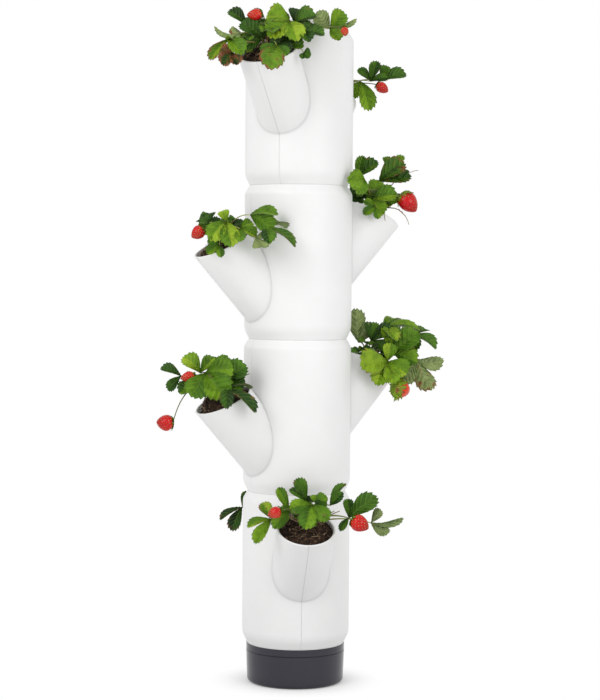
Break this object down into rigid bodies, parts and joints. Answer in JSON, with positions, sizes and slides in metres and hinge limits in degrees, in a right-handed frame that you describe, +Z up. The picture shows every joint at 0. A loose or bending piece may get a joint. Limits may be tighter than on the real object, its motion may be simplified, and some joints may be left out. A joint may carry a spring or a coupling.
{
  "type": "vertical planter tower",
  "caption": "Column of stacked white planting tiers with staggered slanted pockets and strawberry plants, each tier turning on a ring above a round water base.",
  "frame": {"origin": "centre of the flat foot on the ground", "axes": "+Z up along the tower's axis; the viewer of the picture stands on the -Y side, so +X is to their right"},
  "size_m": [0.4678, 0.4175, 1.0906],
  "materials": {
    "shell_plastic": "satin white",
    "base_plastic": "glossy dark grey",
    "ring_plastic": "satin pale grey",
    "inner_plastic": "matte dark grey",
    "soil": "rough, moist",
    "plant_green": "satin leaf",
    "berry_red": "glossy"
  },
  "bodies": {
    "tub": {"water_tub": "base_plastic"},
    "base": {"base_collar": "base_plastic", "base_grate": "inner_plastic", "wick_basket": "inner_plastic", "base_soil": "soil"},
    "ring_1": {"turning_ring_1": "ring_plastic"},
    "tier_1": {"tier_1_left_shell": "shell_plastic", "tier_1_right_shell": "shell_plastic", "tier_1_floor": "inner_plastic", "tier_1_soil": "soil", "tier_1_high_plant": "plant_green", "tier_1_low_plant": "plant_green", "tier_1_high_berries": "berry_red"},
    "ring_2": {"turning_ring_2": "ring_plastic"},
    "tier_2": {"tier_2_left_shell": "shell_plastic", "tier_2_right_shell": "shell_plastic", "tier_2_floor": "inner_plastic", "tier_2_soil": "soil", "tier_2_high_plant": "plant_green", "tier_2_low_plant": "plant_green", "tier_2_high_berries": "berry_red", "tier_2_low_berries": "berry_red"},
    "ring_3": {"turning_ring_3": "ring_plastic"},
    "tier_3": {"tier_3_left_shell": "shell_plastic", "tier_3_right_shell": "shell_plastic", "tier_3_floor": "inner_plastic", "tier_3_soil": "soil", "tier_3_high_plant": "plant_green", "tier_3_low_plant": "plant_green", "tier_3_high_berries": "berry_red", "tier_3_low_berries": "berry_red"},
    "ring_4": {"turning_ring_4": "ring_plastic"},
    "tier_4": {"tier_4_left_shell": "shell_plastic", "tier_4_right_shell": "shell_plastic", "tier_4_floor": "inner_plastic", "tier_4_soil": "soil", "tier_4_high_plant": "plant_green", "tier_4_low_plant": "plant_green", "tier_4_high_berries": "berry_red", "tier_4_low_berries": "berry_red", "top_ring": "ring_plastic"}
  },
  "joints": [
    {"name": "base_lift", "type": "slide", "parent": "tub", "child": "base", "axis": [0, 0, 1], "range_m": [0, 0.06]},
    {"name": "turn_1", "type": "hinge", "parent": "base", "child": "ring_1", "pos_m": [0, 0, 0.065], "axis": [0, 0, 1], "continuous": true},
    {"name": "lift_1", "type": "slide", "parent": "ring_1", "child": "tier_1", "axis": [0, 0, 1], "range_m": [0, 0.06]},
    {"name": "turn_2", "type": "hinge", "parent": "tier_1", "child": "ring_2", "pos_m": [0, 0, 0.315], "axis": [0, 0, 1], "continuous": true},
    {"name": "lift_2", "type": "slide", "parent": "ring_2", "child": "tier_2", "axis": [0, 0, 1], "range_m": [0, 0.06]},
    {"name": "turn_3", "type": "hinge", "parent": "tier_2", "child": "ring_3", "pos_m": [0, 0, 0.565], "axis": [0, 0, 1], "continuous": true},
    {"name": "lift_3", "type": "slide", "parent": "ring_3", "child": "tier_3", "axis": [0, 0, 1], "range_m": [0, 0.06]},
    {"name": "turn_4", "type": "hinge", "parent": "tier_3", "child": "ring_4", "pos_m": [0, 0, 0.815], "axis": [0, 0, 1], "continuous": true},
    {"name": "lift_4", "type": "slide", "parent": "ring_4", "child": "tier_4", "axis": [0, 0, 1], "range_m": [0, 0.06]}
  ]
}
